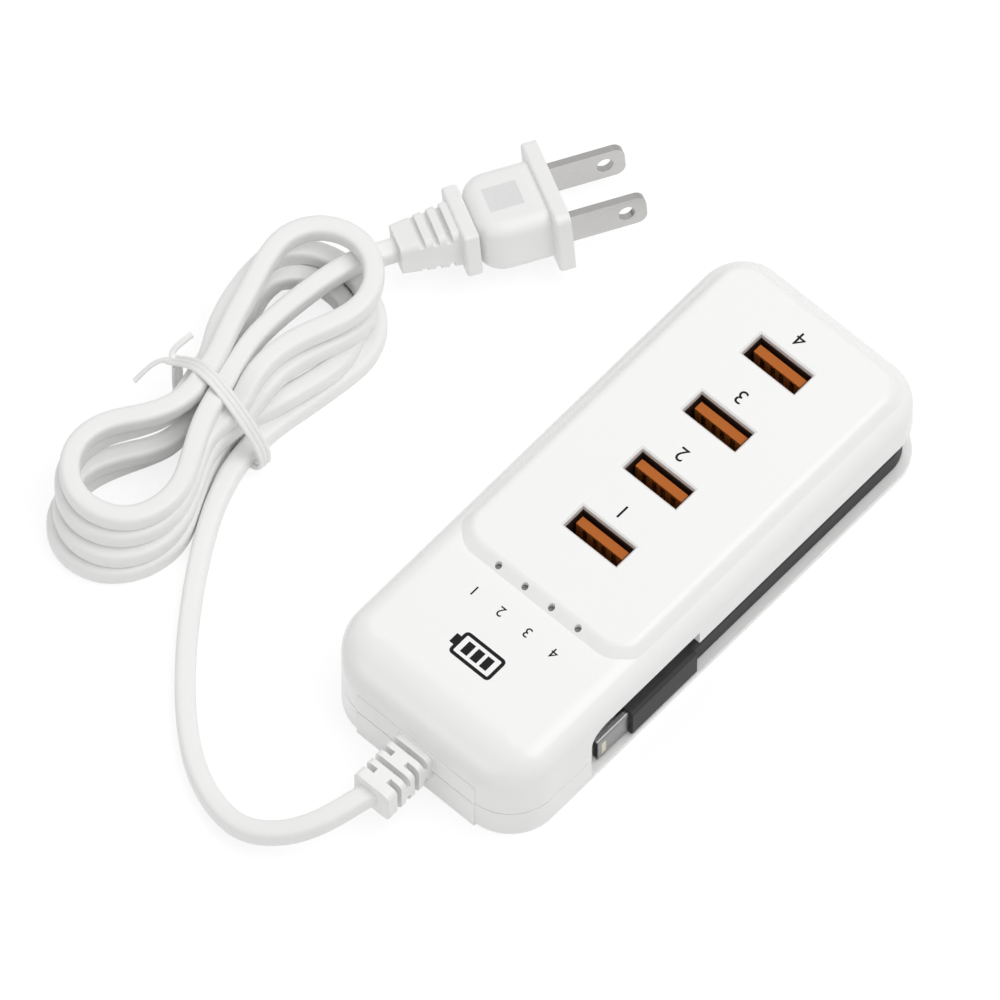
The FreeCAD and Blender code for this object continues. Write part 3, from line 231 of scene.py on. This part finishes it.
# even grey, and amber lacquer over copper
zincScrew = platedMetal("zinc-plated screw", "#B5B5B6", 0.35, 0.3, (1, 1, 1))
copperWire = platedMetal("enamelled copper", "#B9683A", 0.28, 0.35, (1, 1, 0.2))

# how the plug lies: its front face's middle, its heading and its roll about its own length
plugPlace = {"front": (44.4, 57.1, 9.074), "turn": -29.5, "roll": -14.0}
plugTurn = Matrix.Rotation(math.radians(plugPlace["turn"]), 4, "Z")
plugLay = plugTurn @ Matrix.Rotation(math.radians(plugPlace["roll"]), 4, "X")
shearEdges(bladeNickel, plugLay @ Vector((0, 1, 0)), "#A3A2A1")

finishes = {
    whiteAbs: ["top_housing", "bottom_housing"],
    softPvc: ["cord_grip", "plug_body"],
    bladeNickel: numbered("plug_blade", 2),
    socketShellPaintedShade: numbered("usb_shell", 4),
    orangeNylon: numbered("usb_tongue", 4),
    goldFlash: numbered("usb_contacts", 4),
    paleGold: ["charge_plug_contacts"],
    lightPipePaintedShade: numbered("light_pipe", 4),
    lampResin: numbered("status_led", 4),
    blackTpe: ["charge_cable", "charge_plug_boot"],
    tipSteel: ["charge_plug_shell"],
    blackInsertAndShade: ["charge_plug_core", "transformer_bobbin"],
    zincScrew: ["housing_screws"],
    solderMask: ["main_board"],
    ferrite: ["transformer_core"],
    yellowTape: ["transformer_winding", "safety_capacitor"],
    sleeveBlue: numbered("bulk_capacitor", 2) + numbered("output_capacitor", 2),
    fuseTube: ["mains_fuse"],
    copperWire: ["line_choke"],
    blackEpoxy: ["bridge_rectifier", "power_controller", "output_rectifier"],
    redPvc: ["mains_leads", "charge_leads"],
}
for material, names in finishes.items():
    for name in names:
        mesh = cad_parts[name].data
        mesh.materials.clear()
        mesh.materials.append(material)
print("finishes set on the CAD nodes")


# Floor, light and camera

studio = {
    "target": (-3.76, 26.93, 0.0),  # mm, the floor point at the picture's middle
    "heading": (0.741, 0.672),  # the camera looks this way over the floor
    "elevation": 61.0,
    "distance": 5.0,  # m, far off, so the picture has almost no perspective
    "widthMm": 179.2,  # what the picture's width covers at the target
    "sensorMm": 36,
    "clipEnd": 20,
    "floorSize": 6.0,
    "floorDrop": 0.02,  # mm, keeps the floor off the base
    "paper": "#F4F4F4",  # the floor as it lights the object
    "shownPaper": "#8A8A8A",  # the floor as it is seen: glow makes it white, this part takes shadow
    "glow": 0.8,
    "ambient": 0.48,
    "aim": (0, 0.03, 0),  # m, where the lights point
    "lights": {  # m and W
        "key light": {"at": (0.20, -0.38, 1.00), "size": 0.8, "power": 4.8},
        "top light": {"at": (0.45, 0.40, 1.00), "size": 0.8, "power": 2.0},
        "end fill": {"at": (-0.95, 0.25, 0.18), "size": 0.5, "power": 1.0},
    },
}
white = (1, 1, 1, 1)


def seenDirectly(material):
    # 1 for what the camera sees straight, in a mirror or through glass; 0 for light that bounces
    larger = {"operation": "MAXIMUM"}
    rays = addNode(material, "ShaderNodeLightPath")
    first = addNode(
        material, "ShaderNodeMath", larger,
        {0: (rays, "Is Camera Ray"), 1: (rays, "Is Glossy Ray")})
    return addNode(
        material, "ShaderNodeMath", larger, {0: (first, 0), 1: (rays, "Is Transmission Ray")})


def makeFloor():
    deselect()
    bpy.ops.mesh.primitive_plane_add(
        size=studio["floorSize"], location=(0, 0, -studio["floorDrop"] * mm))
    floor = bpy.context.object
    floor.name = "floor"
    material = bpy.data.materials.new("white paper floor")
    material.use_nodes = True
    nodes = material.node_tree.nodes
    nodes.remove(nodes["Principled BSDF"])
    paper = addNode(material, "ShaderNodeBsdfDiffuse", {"Color": hexColor(studio["paper"])})
    faint = addNode(material, "ShaderNodeBsdfDiffuse", {"Color": hexColor(studio["shownPaper"])})
    glow = addNode(material, "ShaderNodeEmission", {"Strength": studio["glow"]})
    lit = addNode(material, "ShaderNodeAddShader", links={0: (faint, 0), 1: (glow, 0)})
    both = addNode(
        material, "ShaderNodeMixShader",
        links={"Fac": (seenDirectly(material), 0), 1: (paper, 0), 2: (lit, 0)})
    material.node_tree.links.new(both.outputs[0], nodes["Material Output"].inputs["Surface"])
    floor.data.materials.append(material)


def makeLight(name, at, size, power):
    deselect()
    bpy.ops.object.light_add(type="AREA", location=at)
    lamp = bpy.context.object
    lamp.name = name
    lamp.data.size = size
    lamp.data.energy = power
    aim = Vector(studio["aim"]) - Vector(at)
    lamp.rotation_euler = aim.to_track_quat("-Z", "Y").to_euler()


def makeWorld():
    world = bpy.data.worlds.new("soft studio")
    scene.world = world
    world.use_nodes = True
    nodes = world.node_tree.nodes
    shown = addNode(world, "ShaderNodeBackground", {"Color": white, "Strength": 1.0})
    ambient = nodes["Background"]
    ambient.inputs["Color"].default_value = white
    ambient.inputs["Strength"].default_value = studio["ambient"]
    both = addNode(
        world, "ShaderNodeMixShader",
        links={"Fac": (seenDirectly(world), 0), 1: (ambient, 0), 2: (shown, 0)})
    world.node_tree.links.new(both.outputs[0], nodes["World Output"].inputs["Surface"])


def makeCamera():
    rise = math.radians(studio["elevation"])
    heading = Vector((*studio["heading"], 0)).normalized()
    look = heading * math.cos(rise) - Vector((0, 0, math.sin(rise)))
    target = Vector(studio["target"]) * mm
    deselect()
    bpy.ops.object.camera_add(location=target - look * studio["distance"])
    camera = bpy.context.object
    camera.rotation_euler = look.to_track_quat("-Z", "Y").to_euler()
    camera.data.sensor_width = studio["sensorMm"]
    camera.data.lens = studio["sensorMm"] * studio["distance"] / (studio["widthMm"] * mm)
    camera.data.clip_end = studio["clipEnd"]
    scene.camera = camera


makeFloor()
makeWorld()
for name, settings in studio["lights"].items():
    makeLight(name, **settings)
makeCamera()
print("studio ready")


# Mains lead: one line from the strain relief, through the tied turns, to the plug

cordSettings = {
    "width": 3.8,
    "height": 4.1,
    "square": 4.6,  # 2 is an oval, more is a squarer section, as a flat lead has
    "sides": 32,
    "layers": 4,
    "exit": (-67.4, 0, 8.8),
    "lead": [
        (-66.4, 0.4, 8.9), (-69.4, 1.5, 8.4), (-73.2, 2.6, 7.75), (-77.6, 4.4, 6.85),
        (-82.4, 8.0, 5.4), (-85.9, 14.0, 4.0), (-85.3, 21.0, 2.75), (-82.0, 29.2, 2.05),
        (-75.7, 37.4, 2.05), (-66.7, 45.8, 2.05), (-56.8, 53.3, 2.05), (-46.3, 60.0, 2.05),
        (-37.7, 64.2, 2.05), (-29.0, 66.4, 2.8),
    ],
    # the loop by the plug, from the waist's lead side round to its far side:
    # the lowest turn, then the topmost
    "upperLow": [
        (-20.6, 66.4), (-13.6, 65.2), (-6.5, 64.1), (0.3, 63.4), (5.5, 65.1),
        (8.9, 68.3), (10.6, 73.0), (10.4, 78.3), (8.4, 83.0), (4.6, 86.0),
        (-0.6, 87.0), (-5.7, 85.6), (-11.1, 83.5), (-16.6, 81.6), (-21.4, 80.6),
    ],
    "upperTop": [
        (-20.5, 71.4), (-14.4, 71.6), (-8.4, 70.2), (-2.1, 67.5), (3.1, 66.5),
        (7.7, 67.8), (11.1, 70.9), (12.8, 75.3), (12.2, 80.0), (9.3, 84.2),
        (4.5, 86.5), (-1.2, 85.9), (-8.2, 83.6), (-15.4, 81.5), (-21.4, 79.1),
    ],
    # the other loop, from the waist's far side round to its lead side
    "lowerLow": [
        (-30.8, 78.3), (-35.6, 77.7), (-40.4, 79.5), (-46.0, 82.3), (-52.0, 84.1),
        (-58.4, 83.8), (-63.0, 80.7), (-65.0, 75.6), (-63.8, 69.6), (-59.3, 65.1),
        (-53.3, 63.1), (-48.0, 63.6), (-43.0, 66.0), (-37.6, 68.6), (-31.9, 70.5),
    ],
    "lowerTop": [
        (-30.6, 77.2), (-35.1, 77.8), (-39.8, 80.2), (-44.3, 83.7), (-49.0, 85.4),
        (-53.7, 84.9), (-57.5, 82.3), (-59.8, 78.4), (-60.1, 73.9), (-58.4, 69.5),
        (-54.8, 66.4), (-49.8, 65.2), (-45.0, 65.9), (-40.3, 68.3), (-34.2, 71.5),
    ],
    # where each turn passes the tie, first on the far side, then on the lead side
    "waistFar": [
        (-26.2, 79.0, 2.8), (-25.9, 78.6, 6.85), (-26.0, 80.1, 10.9), (-26.14, 77.8, 14.8),
    ],
    "waistNear": [
        (-25.84, 70.86, 2.9), (-26.56, 69.5, 7.2), (-26.5, 69.8, 11.6), (-27.6, 73.5, 14.2),
    ],
    # how the middle turns stray from an even spread, for as many points as they do;
    # by the plug they dip to let the tail pass over them
    "strays": {
        "upper1": [
            (0.1, 0.1, 0.0), (0.0, -0.9, 0.0), (0.0, -1.3, -0.1), (-1.4, 0.6, -0.5),
            (-2.7, 1.6, -1.8), (-4.0, 1.4, -2.9), (-4.6, 0.5, -3.4), (-4.5, -0.7, -3.2),
            (-3.8, -1.6, -2.2), (-2.8, -1.8, -1.0), (-1.6, -1.1, -0.1), (-0.9, 0.1, 0.2),
            (0.0, 0.2, 0.1),
        ],
        "upper2": [
            (0.0, 0.0, -0.1), (0.0, 0.5, 0.1), (0.1, 0.3, -0.4), (-0.1, 0.2, -0.7),
            (-0.8, 0.3, -2.0), (-1.2, 0.4, -3.5), (-1.4, 0.1, -4.2), (-1.3, -0.2, -4.3),
            (-1.1, -0.3, -3.6), (-0.6, -0.2, -2.1), (-0.1, 0.6, -0.7), (0.0, 1.6, 0.0),
            (0.0, 3.0, 0.0), (0.0, 3.0, 0.0), (0.0, 1.6, 0.0),
        ],
        "lower1": [
            (0.0, -0.9, 0.0), (0.0, -1.6, 0.0), (0.0, -2.2, 0.0), (0.0, -1.6, 0.0),
            (0.3, -0.8, 0.0), (0.4, -0.5, 0.0), (0.2, -0.3, 0.0), (0.0, -0.2, 0.0),
            (-0.3, -0.2, 0.0), (-0.5, -0.4, 0.0), (-0.2, -0.4, 0.0),
        ],
        "lower2": [
            (0.0, 1.6, 0.0), (0.0, 1.5, 0.0), (0.0, 1.5, 0.0), (0.0, 1.3, 0.0),
            (0.0, 0.8, 0.0), (-0.2, 0.3, 0.0),
        ],
    },
    "tail": [
        (-21.4, 75.35, 12.8), (-15.0, 77.2, 12.0), (-8.5, 77.8, 11.0), (-1.4, 77.6, 10.2),
        (5.5, 76.8, 9.86), (11.0, 75.2, 10.2), (14.8, 73.7, 9.07), (18.1, 71.97, 9.07),
        (19.4, 71.24, 9.07),
    ],
}
sweepSettings = {"steps": 5, "weldMm": 0.005, "creaseAngle": 50}  # for the lead and the tie


def cordPoints():
    s = cordSettings
    points = list(s["lead"])
    for layer in range(s["layers"]):
        share = layer / (s["layers"] - 1)
        height = s["height"] * (layer + 0.5)
        for loop, waist in (("upper", "waistFar"), ("lower", "waistNear")):
            strays = s["strays"].get(f"{loop}{layer}", [])
            for i, (low, top) in enumerate(zip(s[loop + "Low"], s[loop + "Top"])):
                stray = strays[i] if i < len(strays) else (0, 0, 0)
                x = low[0] + (top[0] - low[0]) * share
                y = low[1] + (top[1] - low[1]) * share
                points.append((x + stray[0], y + stray[1], height + stray[2]))
            points.append(s[waist][layer])
    return points + s["tail"]


def nurbsCurve(name, points):
    curve = bpy.data.curves.new(name, "CURVE")
    curve.dimensions = "3D"
    curve.resolution_u = sweepSettings["steps"]
    spline = curve.splines.new("NURBS")
    spline.points.add(len(points) - 1)
    for point, place in zip(spline.points, points):
        point.co = (*[c * mm for c in place], 1)
    spline.order_u = 3
    spline.use_endpoint_u = True
    obj = bpy.data.objects.new(name, curve)
    scene.collection.objects.link(obj)
    return obj


def linePoints(obj):
    # the points of the smooth line itself, read before it gets its thickness
    bpy.context.view_layer.update()
    smooth = obj.evaluated_get(bpy.context.evaluated_depsgraph_get())
    mesh = bpy.data.meshes.new_from_object(smooth)
    points = [tuple(v.co) for v in mesh.vertices]
    bpy.data.meshes.remove(mesh)
    return points


def profileCurve(name, outline):
    curve = bpy.data.curves.new(name, "CURVE")
    curve.dimensions = "2D"
    spline = curve.splines.new("POLY")
    spline.points.add(len(outline) - 1)
    for point, (x, y) in zip(spline.points, outline):
        point.co = (x * mm, y * mm, 0, 1)
    spline.use_cyclic_u = True
    obj = bpy.data.objects.new(name, curve)
    scene.collection.objects.link(obj)
    return obj


def sweptPiece(obj, profile, twist):
    # give the line its section, make it a mesh and drop the section's own object
    obj.data.twist_mode = twist
    obj.data.bevel_mode = "OBJECT"
    obj.data.bevel_object = profile
    obj.data.use_fill_caps = True
    pick(obj)
    bpy.ops.object.convert(target="MESH")
    bpy.data.objects.remove(profile)
    pick(obj)
    bpy.ops.object.mode_set(mode="EDIT")
    bpy.ops.mesh.select_all(action="SELECT")
    bpy.ops.mesh.remove_doubles(threshold=sweepSettings["weldMm"] * mm)
    bpy.ops.mesh.normals_make_consistent(inside=False)
    bpy.ops.object.mode_set(mode="OBJECT")
    bpy.ops.object.shade_smooth_by_angle(angle=math.radians(sweepSettings["creaseAngle"]))
    return obj


def leadOutline():
    s = cordSettings
    outline = []
    for i in range(s["sides"]):
        turn = 2 * math.pi * (i + 0.5) / s["sides"]
        x, y = math.cos(turn), math.sin(turn)
        reach = (abs(x) ** s["square"] + abs(y) ** s["square"]) ** (-1 / s["square"])
        outline.append((x * reach * s["width"] / 2, y * reach * s["height"] / 2))
    return outline


def makeCord():
    line = nurbsCurve("mainsLead", cordPoints())
    path = linePoints(line)
    length = sum((Vector(b) - Vector(a)).length for a, b in zip(path, path[1:]))
    cord = sweptPiece(line, profileCurve("leadSection", leadOutline()), "Z_UP")
    settle(cord, softPvc)
    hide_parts("mains_cord", "cord_hank", "cord_tail")
    print("mains lead", round(length, 3), "m")
    return cord, path, length


cord, cordPath, cordLength = makeCord()


# Twist tie round the waist: a flat ribbed strip, with two thin ends at its knot

tieSettings = {
    "band": {"width": 2.8, "thickness": 0.7, "ridges": 3},
    "end": {"width": 1.2, "thickness": 0.8, "ridges": 1},
    "steps": 18,  # points across the strip
    "groove": 0.8,  # how far a groove cuts towards the middle
    "sharp": 3,  # more makes the grooves narrower
    # starts straight down, so that its flat lies along the turns
    "around": [
        (-26.7, 84.2, 11.6), (-26.7, 84.3, 6.0), (-26.9, 83.6, 1.5), (-27.2, 79.6, 0.42),
        (-27.4, 73.6, 0.42), (-27.8, 67.6, 0.42), (-28.0, 63.6, 0.8), (-27.9, 61.9, 2.8),
        (-27.7, 61.9, 5.6), (-27.7, 63.6, 9.2), (-27.7, 66.6, 12.9), (-27.4, 70.8, 16.0),
        (-27.0, 74.8, 17.4), (-26.6, 78.6, 17.2), (-26.4, 82.0, 14.6), (-26.3, 84.6, 11.6),
        (-26.4, 86.2, 10.6),
    ],
    "ends": [
        [(-26.4, 85.0, 10.9), (-26.6, 86.4, 10.4), (-27.6, 88.0, 9.4), (-29.6, 89.2, 7.6),
         (-32.0, 89.8, 5.6)],
        [(-26.4, 85.2, 10.7), (-26.0, 86.4, 11.0), (-24.8, 86.6, 11.8), (-22.8, 86.2, 12.6),
         (-21.0, 85.8, 12.9)],
    ],
}


def stripOutline(width, thickness, ridges):
    # the flat section of the tie: rounded ridges with a groove between them and at the rims
    s = tieSettings
    steps = s["steps"]
    top = []
    for i in range(steps + 1):
        dip = 0.5 + 0.5 * math.cos(2 * math.pi * ridges * i / steps)
        half = thickness / 2 * (1.0 - s["groove"] * dip ** s["sharp"])
        top.append((-width / 2 + width * i / steps, half))
    return top + [(x, -y) for x, y in reversed(top)]


def makeTie():
    s = tieSettings
    strips = [("tieBand", s["around"], s["band"])]
    strips += [(f"tieEnd{i}", points, s["end"]) for i, points in enumerate(s["ends"])]
    pieces = []
    for name, points, section in strips:
        profile = profileCurve(name + "Section", stripOutline(**section))
        pieces.append(sweptPiece(nurbsCurve(name, points), profile, "MINIMUM"))
    pick(*pieces)
    bpy.ops.object.join()
    tie = bpy.context.object
    tie.name = "twistTie"
    settle(tie, softPvc)
    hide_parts("twist_tie")
    print("twist tie done")
    return tie


tie = makeTie()


# Printed marks: port numbers, lamp numbers and a plain battery sign

markSettings = {
    "ink": 0.03,  # mm that the print stands proud
    "turn": 90,  # read from the port side
    "ports": {"x": [-0.6, 15.2, 31.0, 46.8], "y": 0.2, "z": 24.0, "size": 4.2},
    "lamps": {"x": -29.6, "y": [9.52, 3.17, -3.17, -9.52], "z": 22.5, "size": 3.0},
    "battery": {
        "at": (-39.2, 0.2, 22.5),
        "length": 9.6,
        "width": 5.4,
        "line": 0.7,
        "corner": 0.9,
        "cornerSteps": 4,
        "bars": 3,
        "nub": 1.0,
        "nubShare": 0.4,  # of the width
    },
}


def printPiece(obj, place):
    obj.rotation_euler = (0, 0, math.radians(markSettings["turn"]))
    obj.location = [c * mm for c in place]
    return settle(obj, padInk)


def makeNumber(text, size, place):
    deselect()
    bpy.ops.object.text_add()
    label = bpy.context.object
    label.data.body = text
    label.data.size = size * mm
    label.data.align_x = "CENTER"
    label.data.align_y = "CENTER"
    label.data.extrude = markSettings["ink"] * mm
    pick(label)
    bpy.ops.object.convert(target="MESH")
    return printPiece(bpy.context.object, place)


def addBlock(length, width, x=0.0):
    # a flat rectangle of the sign
    bpy.ops.mesh.primitive_plane_add(size=1)
    block = bpy.context.object
    block.scale = (length * mm, width * mm, 1)
    block.location.x = x * mm
    return block


def makeBattery():
    s = markSettings["battery"]
    margin = s["line"] * 2  # the outline, and as much space inside it
    inside = s["length"] - margin * 2
    step = inside / s["bars"]
    deselect()
    sign = addBlock(s["length"], s["width"])
    bpy.ops.object.transform_apply(scale=True)
    bpy.ops.object.mode_set(mode="EDIT")
    bpy.ops.mesh.bevel(offset=s["corner"] * mm, segments=s["cornerSteps"], affect="VERTICES")
    bpy.ops.mesh.inset(thickness=s["line"] * mm)
    bpy.ops.mesh.delete(type="FACE")
    bpy.ops.object.mode_set(mode="OBJECT")
    pieces = [sign]
    for i in range(s["bars"]):
        x = -inside / 2 + step * (i + 0.5)
        pieces.append(addBlock(step - s["line"], s["width"] - margin * 2, x))
    nubX = (s["length"] + s["nub"]) / 2
    pieces.append(addBlock(s["nub"], s["width"] * s["nubShare"], nubX))
    pick(*pieces)
    bpy.ops.object.transform_apply(location=True, rotation=False, scale=True)
    bpy.ops.object.join()
    bpy.ops.object.mode_set(mode="EDIT")
    bpy.ops.mesh.select_all(action="SELECT")
    rise = (0, 0, markSettings["ink"] * mm)
    bpy.ops.mesh.extrude_region_move(TRANSFORM_OT_translate={"value": rise})
    bpy.ops.mesh.select_all(action="SELECT")
    bpy.ops.mesh.normals_make_consistent(inside=False)
    bpy.ops.object.mode_set(mode="OBJECT")
    return printPiece(sign, s["at"])


def makeMarks():
    ports, lamps = markSettings["ports"], markSettings["lamps"]
    prints = [makeBattery()]
    for i, x in enumerate(ports["x"]):
        prints.append(makeNumber(str(i + 1), ports["size"], (x, ports["y"], ports["z"])))
    for i, y in enumerate(lamps["y"]):
        prints.append(makeNumber(str(i + 1), lamps["size"], (lamps["x"], y, lamps["z"])))
    pick(*prints)
    bpy.ops.object.join()
    marks = bpy.context.object
    marks.name = "printedMarks"
    print("printed marks done")


makeMarks()


# Thumb rest: a pad with a spark-eroded face, let into the plug

thumbSettings = {
    "size": (6.5, 6.0, 0.3),  # fills the recess in the plug
    "cells": (44, 40),
    "relief": 0.09,
    "grit": 0.45,  # coarser than real spark texture, so that it shows
    "creaseAngle": 40,
    "at": (-9.55, 0.0, 5.8),  # in the plug's own frame, from the middle of its front face
}


def makeThumbRest():
    s = thumbSettings
    length, width, thickness = s["size"]
    cellsX, cellsY = s["cells"]
    deselect()
    bpy.ops.mesh.primitive_grid_add(x_subdivisions=cellsX, y_subdivisions=cellsY, size=1)
    pad = bpy.context.object
    pad.name = "thumbRest"
    pad.scale = (length * mm, width * mm, 1)
    bpy.ops.object.transform_apply(scale=True)
    grit = bpy.data.textures.new("sparkGrit", "STUCCI")
    grit.noise_scale = s["grit"] * mm
    relief = pad.modifiers.new("relief", "DISPLACE")
    relief.texture = grit
    relief.strength = s["relief"] * mm
    bpy.ops.object.modifier_apply(modifier="relief")
    depth = pad.modifiers.new("depth", "SOLIDIFY")
    depth.thickness = thickness * mm
    bpy.ops.object.modifier_apply(modifier="depth")
    front = Matrix.Translation(Vector(plugPlace["front"]) * mm)
    pad.matrix_world = front @ plugLay @ Matrix.Translation(Vector(s["at"]) * mm)
    bpy.ops.object.shade_smooth_by_angle(angle=math.radians(s["creaseAngle"]))
    settle(pad, greyPad)
    print("thumb rest done")
    return pad


thumbRest = makeThumbRest()
